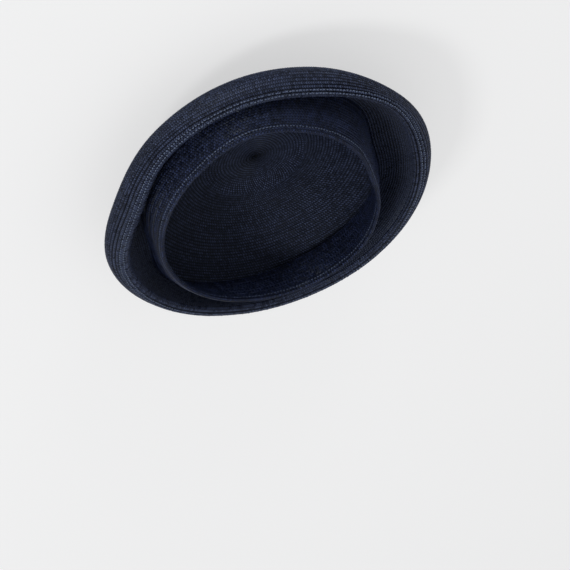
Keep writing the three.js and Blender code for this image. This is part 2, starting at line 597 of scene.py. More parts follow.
@dataclass
class RowLayer:
    """Rows of braid over a section line, on one side of a wall.

    The number of each row's first strand is drawn from 0 up to STARTS.

    Attributes:
        table: the section line that the rows cover.
        rows: rows along that line.
        columns: mesh columns round the hat; two columns make one strand.
        section: the section of a row.
        relief: heights of the surface.
        depth: how far behind the section line the layer lies; 0 is the visible face.
        slant: columns that a strand moves round the hat from the edge of a row to its middle.
        stray: columns by which a row may start early or late.
        seed: chooses the rows' small irregularities.
        number: number of the first row in the braid coordinates.
        spiral: whether the rows are one length of braid that winds out from the middle.
        gathers: where the rows crowd together.
    """

    STARTS = 400

    table: SectionTable
    rows: int
    columns: int
    section: RowSection = FACE_ROW
    relief: Relief = field(default_factory=Relief)
    depth: float = 0.0
    slant: float = 1.5
    stray: float = 0.6
    seed: int = 1
    number: int = 0
    spiral: bool = False
    gathers: tuple[Gather, ...] = ()

    def behind(self, wall: float, **changes: object) -> "RowLayer":
        """The layer on the other side of a wall of that thickness, with its own sizes."""
        return replace(self, depth=wall, number=self.number + BACK_NUMBERS, **changes)

    def rings(self) -> Rings:
        """Lays out every ring of vertices, from the first row to the last row's far edge.

        Returns:
            The rings.
        """
        chance = np.random.default_rng(self.seed)
        row = np.append(np.repeat(np.arange(self.rows), len(self.section.phases)), self.rows)
        phase, ply = (np.append(np.tile(values, self.rows), 0.0)[:, None]
                      for values in (self.section.phases, self.section.plies))
        row, phase, ply, column = np.broadcast_arrays(row[:, None], phase, ply,
                                                      np.arange(self.columns))
        shift = np.append(chance.uniform(-self.stray, self.stray, self.rows), 0.0)
        shift = shift * (not self.spiral)
        shift[0] = 0.0
        zigzag = self.slant * (1.0 - np.abs(2.0 * phase - 1.0)) * (phase > 0.0)
        angles = (column + zigzag + shift[row]) * TURN / self.columns
        across, width = row + phase, np.ones(row.shape)
        if self.spiral:
            angles = angles - angles[:, :1]
            turn = column / self.columns
            width = np.where(row == self.rows - 1, 1.0 - turn, 1.0)
            across = np.minimum(row + phase * width + turn, float(self.rows))
        calm = np.sin(np.pi * np.clip(across / self.rows, 0.0, 1.0)) ** 0.5
        waver = ripple(angles, row, self.seed) * self.relief.waver * calm
        share = (across + waver) / self.rows
        for gather in self.gathers:
            share = gather.moved(share, angles)
        spots, out = self.table.place(angles, share, -self.depth)
        side = 1.0 if self.depth == 0.0 else -1.0
        start = chance.integers(0, self.STARTS, self.rows + 1)[row[:, 0]]
        return Rings(spots=spots, out=out * side, phase=phase, strand=(column + row) / 2,
                     lap=self.relief.laps(row, angles) * width,
                     ply=self.relief.ply * ply * width,
                     across=row + phase + self.number, start=start)


class WovenWall:
    """A closed wall of braid: a face, a back, and the edges between them.

    JUMP is the step in row numbers past which two rings aren't in neighbouring rows, and ROW_END
    is where a face between such rings ends in its own row.
    """

    JUMP = 1.5
    ROW_END = 0.98
    UV_NAME = "braid"
    LAP_NAME = "lap"
    FLOATS = ("phase", "strand", "lap", "ply", "across")

    def __init__(self, face: RowLayer, back: RowLayer | None = None) -> None:
        """Lays out the wall.

        Args:
            face: the visible layer, or the whole of a wall whose line runs right round it.
            back: the layer behind it.
        """
        layers = [face.rings()] + ([back.rings().flipped()] if back else [])
        self.rings = Rings.joined(layers)
        self.face, self.back = face, back
        self.split = len(layers[0].spots)

    def _ring_quads(self) -> tuple[np.ndarray, np.ndarray]:
        """Quads between neighbouring rings.

        Returns:
            Ring and column of each corner.
        """
        rings, columns = self.rings.phase.shape
        here, column = np.indices((rings, columns))
        ahead, beside = (here + 1) % rings, column + 1
        ring = np.stack([here, here, ahead, ahead], axis=2)
        return ring, np.stack([column, beside, beside, column], axis=2)

    def _wind(self, ring: np.ndarray, column: np.ndarray) -> tuple[np.ndarray, np.ndarray]:
        """Makes the last column of each row of a spiral meet the first of the next row.

        Args:
            ring: ring of each corner.
            column: column of each corner, which may be one past the last.

        Returns:
            Ring and column with the wrap worked out.
        """
        past = column == self.rings.phase.shape[1]
        if self.face.spiral:
            last = self.split - 1
            ahead = np.minimum(ring + len(self.face.section.phases), last)
            behind = np.maximum(ring - len(self.back.section.phases), last + 1)
            ring = np.where(past, np.where(ring > last, behind, ahead), ring)
        return ring, np.where(past, 0, column)

    def _faces(self) -> tuple[np.ndarray, np.ndarray, np.ndarray]:
        """Works out every face.

        Returns:
            Corner indices, the corners' braid coordinates, and which faces are smooth.
        """
        ring, column = self._ring_quads()
        rings, columns = self.rings.phase.shape
        first = ring[..., :1]
        along = (column + self.rings.rows()[first]) / 2 + 0.5 + self.rings.start[first]
        across = self.rings.across[:, 0]
        v, base = across[ring], across[first]
        far = np.abs(v - base) > self.JUMP
        v = np.where(far, np.floor(base) + self.ROW_END, v)
        uvs = np.stack([along, v], axis=3)
        smooth = ~far.any(axis=2)
        if self.face.spiral:
            ring, column, uvs, smooth = ring[:-1], column[:-1], uvs[:-1], smooth[:-1]
        ring, column = self._wind(ring, column)
        corners = (ring * columns + column).reshape(-1, 4)
        uvs, smooth = uvs.reshape(-1, 4, 2), smooth.ravel()
        if self.face.spiral:
            cap = np.concatenate([self._tip_cap(0, 1, len(self.face.section.phases)),
                                  self._tip_cap(rings - 1, -1, len(self.back.section.phases))])
            spot = np.stack([(cap % columns) / 2.0, across[cap // columns]], axis=2)
            corners = np.concatenate([corners, cap])
            uvs = np.concatenate([uvs, spot])
            smooth = np.concatenate([smooth, np.ones(len(cap), dtype=bool)])
        return corners, uvs, smooth

    def _tip_cap(self, ring: int, way: int, step: int) -> np.ndarray:
        """Triangles that close the middle of a spiral.

        Args:
            ring: the ring where the spiral begins.
            way: 1 if rings count outward from it, -1 if inward.
            step: rings to a row.

        Returns:
            Triangles with their last corner repeated.
        """
        columns = self.rings.phase.shape[1]
        base = ring * columns
        fan = [(base, base + c + 1, base + c) for c in range(1, columns - 1)]
        start = [base + way * i * columns for i in range(step + 1)]
        fan += [(base + columns - 1, start[i], start[i + 1]) for i in range(step)]
        triangles = np.array([(a, b, c) if way > 0 else (a, c, b) for a, b, c in fan])
        return np.concatenate([triangles, triangles[:, 2:]], axis=1)

    def to_object(self, name: str) -> Object:
        """Makes the smooth wall, carrying its braid coordinates and heights.

        Args:
            name: the piece's name.

        Returns:
            The new object, linked to the scene.
        """
        corners, uvs, smooth = self._faces()
        kept = corners != np.roll(corners, 1, axis=1)
        kept[:, 0] = True
        sound = kept.sum(axis=1) >= 3
        corners, uvs, smooth, kept = corners[sound], uvs[sound], smooth[sound], kept[sound]
        sizes = kept.sum(axis=1)
        mesh = bpy.data.meshes.new(name)
        mesh.vertices.add(self.rings.phase.size)
        mesh.vertices.foreach_set("co", self.rings.spots.astype(np.float32).ravel())
        mesh.loops.add(int(sizes.sum()))
        mesh.loops.foreach_set("vertex_index", corners[kept].astype(np.int32))
        mesh.polygons.add(len(sizes))
        starts = np.concatenate([[0], np.cumsum(sizes)[:-1]]).astype(np.int32)
        mesh.polygons.foreach_set("loop_start", starts)
        mesh.polygons.foreach_set("use_smooth", smooth)
        layer = mesh.uv_layers.new(name=self.UV_NAME)
        layer.data.foreach_set("uv", uvs[kept].astype(np.float32).ravel())
        for label in self.FLOATS:
            values = getattr(self.rings, label).astype(np.float32).ravel()
            mesh.attributes.new(label, "FLOAT", "POINT").data.foreach_set("value", values)
        out = self.rings.out.astype(np.float32).ravel()
        mesh.attributes.new("out", "FLOAT_VECTOR", "POINT").data.foreach_set("vector", out)
        mesh.update(calc_edges=True)
        mesh.validate()
        return add_object(name, mesh)


# ------------------------------------------------------------------------------ node trees


class NodeKit:
    """Short calls for building shader and geometry node trees."""

    def __init__(self, tree: NodeTree) -> None:
        """Keeps the tree that nodes are added to."""
        self.tree = tree

    def node(self, kind: str, inputs: dict | None = None, **settings: object) -> Node:
        """Adds a node.

        Args:
            kind: Blender's name for it.
            inputs: what its inputs are linked to or set to, by their names or places.
            settings: its properties.

        Returns:
            The node.
        """
        made = self.tree.nodes.new(kind)
        for name, value in settings.items():
            setattr(made, name, value)
        for name, value in (inputs or {}).items():
            self.feed(made.inputs[name], value)
        return made

    def feed(self, socket: NodeSocket, value: object) -> None:
        """Links a socket to an input, or sets the input's own value.

        Args:
            socket: the input.
            value: the socket to link, or the value.
        """
        if isinstance(value, NodeSocket):
            self.tree.links.new(value, socket)
        else:
            socket.default_value = value

    def math(self, operation: str, *values: object) -> NodeSocket:
        """A Math node's result."""
        return self.node("ShaderNodeMath", dict(enumerate(values)), operation=operation).outputs[0]

    def scaled(self, vector: NodeSocket, scale: object) -> NodeSocket:
        """A vector times a number."""
        inputs = {0: vector, "Scale": scale}
        return self.node("ShaderNodeVectorMath", inputs, operation="SCALE").outputs[0]

    def span(self, value: object, low: float, high: float, out_low: float = 0.0,
             out_high: float = 1.0, smooth: bool = False) -> NodeSocket:
        """A Map Range node's clamped result.

        Args:
            value: what is mapped.
            low: value that gives out_low.
            high: value that gives out_high.
            out_low: result at low.
            out_high: result at high.
            smooth: whether the result eases in and out.

        Returns:
            The result.
        """
        kind = "SMOOTHSTEP" if smooth else "LINEAR"
        inputs = dict(enumerate((value, low, high, out_low, out_high)))
        made = self.node("ShaderNodeMapRange", inputs, clamp=True, interpolation_type=kind)
        return made.outputs[0]

    def vector(self, *values: object) -> NodeSocket:
        """A Combine XYZ node's result."""
        return self.node("ShaderNodeCombineXYZ", dict(enumerate(values))).outputs[0]

    def noise(self, scale: float, detail: float = 2.0, **inputs: object) -> NodeSocket:
        """A Noise Texture's value, in four dimensions where W is among its inputs."""
        inputs, kind = {"Scale": scale, "Detail": detail, **inputs}, "4D" if "W" in inputs else "3D"
        return self.node("ShaderNodeTexNoise", inputs, noise_dimensions=kind).outputs[0]

    def chance(self, kind: str, low: object, high: object, **inputs: object) -> NodeSocket:
        """A Random Value node's result.

        Args:
            kind: type of the value.
            low: least value.
            high: greatest value.
            inputs: what its Seed and ID are linked to.

        Returns:
            The value.
        """
        made = self.node("FunctionNodeRandomValue", inputs, data_type=kind)
        ends = (end for end in made.inputs if end.enabled and end.name in ("Min", "Max"))
        for end, value in zip(ends, (low, high)):
            end.default_value = value
        return next(drawn for drawn in made.outputs if drawn.enabled)

    def ramp(self, value: object, *stops: tuple[float, tuple]) -> NodeSocket:
        """A Color Ramp's colour.

        Args:
            value: the place along the ramp.
            stops: two or more places along it, each with its linear colour.

        Returns:
            The colour.
        """
        made = self.node("ShaderNodeValToRGB", {0: value})
        marks = made.color_ramp.elements
        for mark, (place, colour) in zip((marks[0], marks[1]), (stops[0], stops[-1])):
            mark.position, mark.color = place, (*colour, 1.0)
        for place, colour in stops[1:-1]:
            marks.new(place).color = (*colour, 1.0)
        return made.outputs[0]

    def attribute(self, name: str, kind: str = "FLOAT") -> NodeSocket:
        """A named attribute of the geometry."""
        made = self.node("GeometryNodeInputNamedAttribute", {"Name": name}, data_type=kind)
        return made.outputs["Attribute"]


class GeometryTree:
    """A geometry node tree with named inputs, ending in Realize Instances and Set Material."""

    def __init__(self, name: str, sizes: dict[str, float]) -> None:
        """Starts the tree, which always has the inputs Geometry, Seed and Finish too.

        Args:
            name: the tree's name.
            sizes: named float inputs and their values.
        """
        self.tree = bpy.data.node_groups.new(name, "GeometryNodeTree")
        floats = [(label, "Float", value) for label, value in sizes.items()]
        for label, kind, value in [("Geometry", "Geometry", None), *floats, ("Seed", "Int", 1),
                                   ("Finish", "Material", None)]:
            socket = self.tree.interface.new_socket(label, in_out="INPUT",
                                                    socket_type=f"NodeSocket{kind}")
            if value is not None:
                socket.default_value = value
        self.tree.interface.new_socket("Geometry", in_out="OUTPUT",
                                       socket_type="NodeSocketGeometry")
        self.kit = NodeKit(self.tree)
        self.given = self.kit.node("NodeGroupInput").outputs

    def close(self, geometry: NodeSocket) -> NodeTree:
        """Ends the tree.

        Args:
            geometry: what the tree has made.

        Returns:
            The finished tree.
        """
        real = self.kit.node("GeometryNodeRealizeInstances", {"Geometry": geometry})
        dress = self.kit.node("GeometryNodeSetMaterial", {
            "Geometry": real.outputs[0], "Material": self.given["Finish"]})
        self.kit.node("NodeGroupOutput", {"Geometry": dress.outputs[0]})
        return self.tree


# Height of a lap across its row, as places across and shares of the lap.
LAP_PROFILE = ((0.12, 0.40), (0.30, 0.84), (0.50, 0.96), (0.70, 1.0), (0.90, 0.46))
# Each half of a row is a lane. The lanes' numbers are this far apart, so no two strands of the
# hat draw the same lot. A guard keeps a lane's first ring in it, and a strand begins a quarter
# of its width before the top of its wave.
ROW_LANES, LANE_GUARD, LANE_APART, STRAND_START = 2.0, 0.01, 4096.0, 0.25
SWELL_SCALE = 26.0


def braid_relief_tree() -> NodeTree:
    """Builds the tree that raises laps and plaited strands on a smooth wall.

    Returns:
        A tree with the inputs Lap Scale, Ply Scale, Uneven, Swell, Seed and Finish.
    """
    tree = GeometryTree("braid_relief", {"Lap Scale": 1.0, "Ply Scale": 1.0, "Uneven": 0.35,
                                         "Swell": 0.16 * MM})
    kit, given = tree.kit, tree.given
    profile = kit.node("ShaderNodeFloatCurve", {"Value": kit.attribute("phase")})
    curve = profile.mapping.curves[0]
    for point, place in zip(curve.points, (0.0, 1.0)):
        point.location = (place, 0.0)
    for place, height in LAP_PROFILE:
        curve.points.new(place, height)
    profile.mapping.update()
    lap = kit.math("MULTIPLY", kit.attribute("lap"), given["Lap Scale"])
    lap = kit.math("MULTIPLY", lap, profile.outputs[0])
    wave = kit.math("COSINE", kit.math("MULTIPLY", kit.attribute("strand"), TURN))
    lane = kit.math("FLOOR", kit.math("MULTIPLY_ADD", kit.attribute("across"), ROW_LANES,
                                      LANE_GUARD))
    strand = kit.math("FLOOR", kit.math("ADD", kit.attribute("strand"), STRAND_START))
    uneven = kit.chance("FLOAT", -1.0, 1.0, Seed=given["Seed"],
                        ID=kit.math("MULTIPLY_ADD", lane, LANE_APART, strand))
    uneven = kit.math("MULTIPLY_ADD", uneven, given["Uneven"], 1.0)
    ply = kit.math("MULTIPLY", kit.attribute("ply"), given["Ply Scale"])
    ply = kit.math("MULTIPLY", kit.math("MULTIPLY", ply, wave), uneven)
    swell = kit.noise(SWELL_SCALE, W=given["Seed"])
    swell = kit.math("MULTIPLY", kit.math("SUBTRACT", swell, 0.5), given["Swell"])
    lift = kit.math("ADD", kit.math("ADD", lap, ply), swell)
    place = kit.node("GeometryNodeSetPosition", {
        "Geometry": given["Geometry"],
        "Offset": kit.scaled(kit.attribute("out", "FLOAT_VECTOR"), lift)})
    return tree.close(place.outputs[0])


def stitch_tree() -> NodeTree:
    """Builds the tree that sets stitches along a line.

    Returns:
        A tree with the inputs Pitch, Length, Width, Height, Wander, Seed and Finish.
    """
    tree = GeometryTree("sewn_stitches",
                        {"Pitch": 2.4 * MM, "Length": 1.7 * MM, "Width": 1.0 * MM,
                         "Height": 0.50 * MM, "Wander": 0.16 * MM})
    kit, given = tree.kit, tree.given
    curve = kit.node("GeometryNodeMeshToCurve", {"Mesh": given["Geometry"]})
    spaced = kit.node("GeometryNodeResampleCurve", {
        "Curve": curve.outputs[0], "Length": given["Pitch"]}, mode="LENGTH")
    points = kit.node("GeometryNodeCurveToPoints", {"Curve": spaced.outputs[0]}, mode="EVALUATED")
    stray = kit.chance("FLOAT_VECTOR", (-1.0,) * 3, (1.0,) * 3, Seed=given["Seed"])
    moved = kit.node("GeometryNodeSetPosition", {
        "Geometry": points.outputs["Points"], "Offset": kit.scaled(stray, given["Wander"])})
    along = kit.node("FunctionNodeAlignRotationToVector", {
        "Vector": points.outputs["Tangent"]}, axis="X")
    upright = kit.node("FunctionNodeAlignRotationToVector", {
        "Rotation": along.outputs[0],
        "Vector": kit.attribute("out", "FLOAT_VECTOR")}, axis="Z", pivot_axis="X")
    # a ball one unit across, which the instances' scale draws out into a stitch
    ball = kit.node("GeometryNodeMeshIcoSphere", {"Radius": 0.5, "Subdivisions": 1})
    smooth = kit.node("GeometryNodeSetShadeSmooth", {"Geometry": ball.outputs["Mesh"]})
    laid = kit.node("GeometryNodeInstanceOnPoints", {
        "Points": moved.outputs[0], "Instance": smooth.outputs[0],
        "Rotation": upright.outputs[0],
        "Scale": kit.vector(given["Length"], given["Width"], given["Height"])})
    return tree.close(laid.outputs[0])


def apply_tree(obj: Object, tree: NodeTree, values: dict[str, object]) -> Object:
    """Runs a geometry node tree on an object and keeps the result as its plain mesh.

    Args:
        obj: the object.
        tree: the tree.
        values: the tree's inputs by name.

    Returns:
        The same object with its new mesh.
    """
    modifier = obj.modifiers.new(tree.name, "NODES")
    modifier.node_group = tree
    for item in tree.interface.items_tree:
        if item.item_type == "SOCKET" and item.in_out == "INPUT" and item.name in values:
            modifier[item.identifier] = values[item.name]
    graph = bpy.context.evaluated_depsgraph_get()
    made = bpy.data.meshes.new_from_object(obj.evaluated_get(graph),
                                           preserve_all_data_layers=True, depsgraph=graph)
    obj.modifiers.remove(modifier)
    spent, obj.data = obj.data, made
    name = spent.name
    bpy.data.meshes.remove(spent)
    made.name = name
    for label in (*WovenWall.FLOATS, "out"):
        if label in made.attributes and label != WovenWall.LAP_NAME:
            made.attributes.remove(made.attributes[label])
    return obj


# ------------------------------------------------------------------------------ finishes


@dataclass(frozen=True)
class Plait:
    """How the strands of a braid are drawn from its braid coordinates. Their tone carries painted
    shade in the dips between strands and in the grooves between rows, and painted highlight on the
    strands' tops.

    Attributes:
        seam_laps: laps, in metres, between which a row's edges come to show, in the relief and in
            the painted shade of the grooves.
        flush_seam: how much the edges show where the rows lie flush.
        fibres: how often the fibres change across a strand and across a row.
        roundness: powers that round a strand across its width and across the row.
        fibre_height: what the fibres add to the height.
        fibre_tone: what the fibres add to the tone.
        middle_tone: tone of a strand of middling shade, without fibres.
        painted_strand_shade: share of the tone kept in the dip between strands, as painted shade,
            and what their tops add to it, as painted highlight.
        groove: places across the row between which it lies clear of its grooves.
        painted_groove_shade: share of the tone kept at the bottom of a groove, as painted shade.
        gloss_shares: how much of the gloss each strand and each fibre decides.
    """

    seam_laps: tuple[float, float] = (0.05 * MM, 0.45 * MM)
    flush_seam: float = 0.30
    fibres: tuple[float, float] = (7.0, 2.6)
    roundness: tuple[float, float] = (1.6, 0.6)
    fibre_height: float = 0.25
    fibre_tone: float = 0.42
    middle_tone: float = 0.33
    painted_strand_shade: tuple[float, float] = (0.08, 1.06)
    groove: tuple[float, float] = (0.22, 0.84)
    painted_groove_shade: float = 0.05
    gloss_shares: tuple[float, float] = (0.7, 0.3)

    def group(self) -> NodeTree:
        """Builds the node group.

        Returns:
            A group with the inputs Scatter and Lean and the outputs Height, Tone and Gloss.
        """
        tree = bpy.data.node_groups.new("plaited_straw", "ShaderNodeTree")
        for name, way in (("Scatter", "INPUT"), ("Lean", "INPUT"), ("Height", "OUTPUT"),
                          ("Tone", "OUTPUT"), ("Gloss", "OUTPUT")):
            tree.interface.new_socket(name, in_out=way, socket_type="NodeSocketFloat")
        kit = NodeKit(tree)
        given, result = kit.node("NodeGroupInput"), kit.node("NodeGroupOutput")
        uv = kit.node("ShaderNodeUVMap", uv_map=WovenWall.UV_NAME).outputs[0]
        coords = kit.node("ShaderNodeSeparateXYZ", {0: uv})
        place, across = coords.outputs["X"], coords.outputs["Y"]
        row, phase = kit.math("FLOOR", across), kit.math("FRACT", across)
        strand, beside = kit.math("FLOOR", place), kit.math("FRACT", place)
        chance = kit.node("ShaderNodeTexWhiteNoise", {"Vector": kit.vector(strand, row, 0.0)},
                          noise_dimensions="2D")
        deep = kit.node("ShaderNodeAttribute", attribute_name=WovenWall.LAP_NAME)
        seam = kit.span(deep.outputs["Fac"], *self.seam_laps, self.flush_seam, 1.0)
        fibre = kit.noise(1.0, Vector=kit.vector(kit.math("MULTIPLY", place, self.fibres[0]),
                                                 kit.math("MULTIPLY", across, self.fibres[1]), row))
        body = self._body(kit, beside, phase, seam)
        height = kit.math("MULTIPLY_ADD", fibre, self.fibre_height, body)
        lean = kit.math("MULTIPLY", self._lean(kit, chance, beside, phase), given.outputs["Lean"])
        kit.feed(result.inputs["Height"], kit.math("ADD", height, lean))
        light = kit.math("MULTIPLY_ADD", kit.math("SUBTRACT", chance.outputs["Value"], 0.5),
                         given.outputs["Scatter"], self.middle_tone)
        tone = kit.math("MULTIPLY_ADD", fibre, self.fibre_tone, light)
        # Painted shade and highlight: the tone falls to a small share in the dips between strands
        # and rises on their tops.
        tone = kit.math("MULTIPLY", tone,
                        kit.math("MULTIPLY_ADD", body, self.painted_strand_shade[1], self.painted_strand_shade[0]))
        # Painted shade in the grooves between rows, deeper where the rows' edges show.
        tucked, free = self.groove
        groove = kit.math("MULTIPLY",
                          kit.span(phase, 0.0, tucked, self.painted_groove_shade, 1.0, smooth=True),
                          kit.span(phase, free, 1.0, 1.0, self.painted_groove_shade, smooth=True))
        unlit = kit.math("MULTIPLY", seam, kit.math("SUBTRACT", 1.0, groove))
        kit.feed(result.inputs["Tone"],
                 kit.math("MULTIPLY", tone, kit.math("SUBTRACT", 1.0, unlit)))
        by_strand, by_fibre = self.gloss_shares
        kit.feed(result.inputs["Gloss"],
                 kit.math("MULTIPLY_ADD", chance.outputs["Value"], by_strand,
                          kit.math("MULTIPLY", fibre, by_fibre)))
        return tree

    def _body(self, kit: NodeKit, beside: NodeSocket, phase: NodeSocket,
              seam: NodeSocket) -> NodeSocket:
        """Rounded height of a strand, which dips at the row's edges where they show.

        Args:
            kit: the group's kit.
            beside: place across the strand, 0 to 1.
            phase: place across the row, 0 to 1.
            seam: how much the row's edges show.

        Returns:
            The height, 0 to 1.
        """
        ridge = kit.math("SINE", kit.math("MULTIPLY", beside, math.pi))
        bow = kit.math("SINE", kit.math("MULTIPLY", phase, math.pi))
        bow = kit.math("SUBTRACT", 1.0, kit.math("MULTIPLY", seam, kit.math("SUBTRACT", 1.0, bow)))
        return kit.math("MULTIPLY", kit.math("POWER", ridge, self.roundness[0]),
                        kit.math("POWER", bow, self.roundness[1]))

    def _lean(self, kit: NodeKit, chance: Node, beside: NodeSocket,
              phase: NodeSocket) -> NodeSocket:
        """Slope of a strand that tips out of line, along the row and across it.

        Args:
            kit: the group's kit.
            chance: the node that draws the strand's lots.
            beside: place across the strand, 0 to 1.
            phase: place across the row, 0 to 1.

        Returns:
            What the slope adds to the height there.
        """
        lots = kit.node("ShaderNodeSeparateXYZ", {0: chance.outputs["Color"]})
        along, over = (kit.math("MULTIPLY", kit.math("SUBTRACT", lots.outputs[axis], 0.5),
                                kit.math("SUBTRACT", place, 0.5))
                       for axis, place in (("X", beside), ("Y", phase)))
        return kit.math("ADD", along, over)


# Where nearly all values of a noise texture lie, and of the braid's own gloss.
NOISE_RANGE, GLOSS_RANGE = (0.3, 0.7), (0.15, 0.85)


@dataclass(frozen=True)
class StrawFinish:
    """Dyed straw in one shade.

    Attributes:
        name: the material's name.
        shadow: painted shade, the linear colour in the dips between strands and in the grooves.
        body: linear colour of a strand.
        crest_and_highlight: linear colour of the lightest strands, partly painted highlight on the
            strands' tops.
        gloss: roughness of the glossiest and of the dullest strand.
        depth: height of the plait's bump, in metres.
        scatter: how much lighter the lightest strand is than the darkest, in tone.
        lean: how far single strands tip out of line, in bump depths.
        stops: tones at which the shadow, body and crest colours stand.
        patches: scale of the soft patches in the dye, and how finely their edges break up.
        patch_tone: tone of the darkest and of the lightest patch, as shares.
        shine: strength of the straw's reflections.
        tint: their colour.
    """

    name: str
    # The darkest colour is painted shade between strands and in grooves; the lightest is partly
    # painted highlight on strand tops.
    shadow: tuple[float, float, float] = (0.0008, 0.0010, 0.0028)
    body: tuple[float, float, float] = (0.0130, 0.0170, 0.0380)
    crest_and_highlight: tuple[float, float, float] = (0.0900, 0.1160, 0.2200)
    gloss: tuple[float, float] = (0.24, 0.40)
    depth: float = 0.32 * MM
    scatter: float = 0.36
    lean: float = 0.9
    stops: tuple[float, float, float] = (0.05, 0.30, 0.80)
    patches: tuple[float, float] = (38.0, 3.0)
    patch_tone: tuple[float, float] = (0.93, 1.07)
    shine: float = 0.30
    tint: tuple[float, float, float] = (0.74, 0.84, 1.0)

    def make(self, plait: NodeTree) -> Material:
        """Builds the material.

        Args:
            plait: the plaited straw node group.

        Returns:
            The material.
        """
        material = bpy.data.materials.new(self.name)
        material.use_nodes = True
        tree = material.node_tree
        tree.nodes.clear()
        kit = NodeKit(tree)
        weave = kit.node("ShaderNodeGroup", node_tree=plait)
        weave.inputs["Scatter"].default_value = self.scatter
        weave.inputs["Lean"].default_value = self.lean
        cloud = kit.noise(*self.patches, Vector=kit.node("ShaderNodeTexCoord").outputs["Object"])
        tone = kit.math("MULTIPLY", weave.outputs["Tone"],
                        kit.span(cloud, *NOISE_RANGE, *self.patch_tone))
        bump = kit.node("ShaderNodeBump", {"Strength": 1.0, "Distance": self.depth,
                                           "Height": weave.outputs["Height"]})
        shader = kit.node("ShaderNodeBsdfPrincipled", {
            "Base Color": kit.ramp(tone, *zip(self.stops, (self.shadow, self.body, self.crest_and_highlight))),
            "Roughness": kit.span(weave.outputs["Gloss"], *GLOSS_RANGE, *self.gloss),
            "Normal": bump.outputs[0],
            "Specular IOR Level": self.shine,
            "Specular Tint": (*self.tint, 1.0)})
        kit.node("ShaderNodeOutputMaterial", {0: shader.outputs[0]})
        return material


@dataclass(frozen=True)
class ThreadFinish:
    """Twisted sewing thread, far lighter than the straw, so that it is partly painted highlight for
    the glints along the lip's rows and the hem.

    Attributes:
        name: the material's name.
        dark: linear colour between the twists.
        light: linear colour of the twists, partly painted highlight.
        twists: scale of the twists.
        stops: values of the twists' noise at which the dark and the light colour stand.
        gloss: roughness between the twists and on them.
    """

    name: str = "navy_thread_painted_glints"
    # Partly painted highlight: the thread is far lighter than the straw, standing in for the glints
    # along the lip's rows and the hem.
    dark: tuple[float, float, float] = (0.060, 0.078, 0.135)
    light: tuple[float, float, float] = (0.200, 0.255, 0.380)
    twists: float = 2400.0
    stops: tuple[float, float] = (0.35, 0.65)
    gloss: tuple[float, float] = (0.32, 0.50)

    def make(self) -> Material:
        """Builds the material.

        Returns:
            The material.
        """
        material = bpy.data.materials.new(self.name)
        material.use_nodes = True
        kit = NodeKit(material.node_tree)
        shader = material.node_tree.nodes["Principled BSDF"]
        twist = kit.noise(self.twists, Vector=kit.node("ShaderNodeTexCoord").outputs["Object"])
        kit.feed(shader.inputs["Base Color"],
                 kit.ramp(twist, *zip(self.stops, (self.dark, self.light))))
        kit.feed(shader.inputs["Roughness"], kit.span(twist, *NOISE_RANGE, *self.gloss))
        return material


WALL_STRAW = StrawFinish(name="navy_straw")
CHANNEL_STRAW = StrawFinish(name="navy_straw_even", scatter=0.10)
DOME_STRAW = StrawFinish(name="navy_straw_dull", gloss=(0.38, 0.54), lean=0.8)
# Painted shade: the headband's straw is a darker copy of the wall's, for the shade that the lip
# casts on the band.
SHADED_BAND_STRAW = StrawFinish(name="navy_band", body=(0.0042, 0.0064, 0.0190),
                         crest_and_highlight=(0.0560, 0.0780, 0.1850), gloss=(0.28, 0.44), lean=2.4)


@dataclass
class Palette:
    """The hat's materials and the trees that raise its surface.

    Attributes:
        wall: the side and the lip.
        channel: the under-brim, whose strands are more alike.
        dome: the tip and the dome, which handling has dulled.
        band: the headband, in a darker copy of the straw that paints the shade under the lip.
        thread: the sewing, whose light colour is partly painted highlight.
        relief: tree that raises laps and strands.
        stitches: tree that sets stitches.
    """

    wall: Material
    channel: Material
    dome: Material
    band: Material
    thread: Material
    relief: NodeTree
    stitches: NodeTree

    @classmethod
    def mixed(cls) -> "Palette":
        """Builds every material and tree once.

        Returns:
            The palette.
        """
        plait = Plait().group()
        return cls(WALL_STRAW.make(plait), CHANNEL_STRAW.make(plait), DOME_STRAW.make(plait),
                   SHADED_BAND_STRAW.make(plait), ThreadFinish().make(), braid_relief_tree(), stitch_tree())


# ------------------------------------------------------------------------------ sub-assemblies


def hand_over(obj: Object, material: Material, node: str | None = None) -> Object:
    """Gives a piece its material, body and material slot, and hides the CAD node that it stands for.

    Args:
        obj: the piece.
        material: its finish.
        node: the CAD node that it replaces, if it is the one that does.

    Returns:
        The same piece.
    """
    obj.data.materials.clear()
    obj.data.materials.append(material)
    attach(obj, "root")
    if node:
        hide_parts(node)
    obj.data.calc_loop_triangles()
    LOG.info("%s: %d triangles", obj.name, len(obj.data.loop_triangles))
    return obj


def woven_piece(name: str, wall: WovenWall, palette: Palette, material: Material,
                node: str | None = None) -> Object:
    """Makes a wall of braid with its relief, and hands it over with its material and the CAD node
    that it replaces.
    """
    obj = apply_tree(wall.to_object(name), palette.relief, {"Finish": material})
    return hand_over(obj, material, node)


@dataclass(frozen=True)
class DomeCourse:
    """Some rows of the dome, made as one piece.

    Attributes:
        zone: the stretch of the section they cover.
        rows: how many rows.
        columns: mesh columns round them.
    """

    zone: Zone
    rows: int
    columns: int


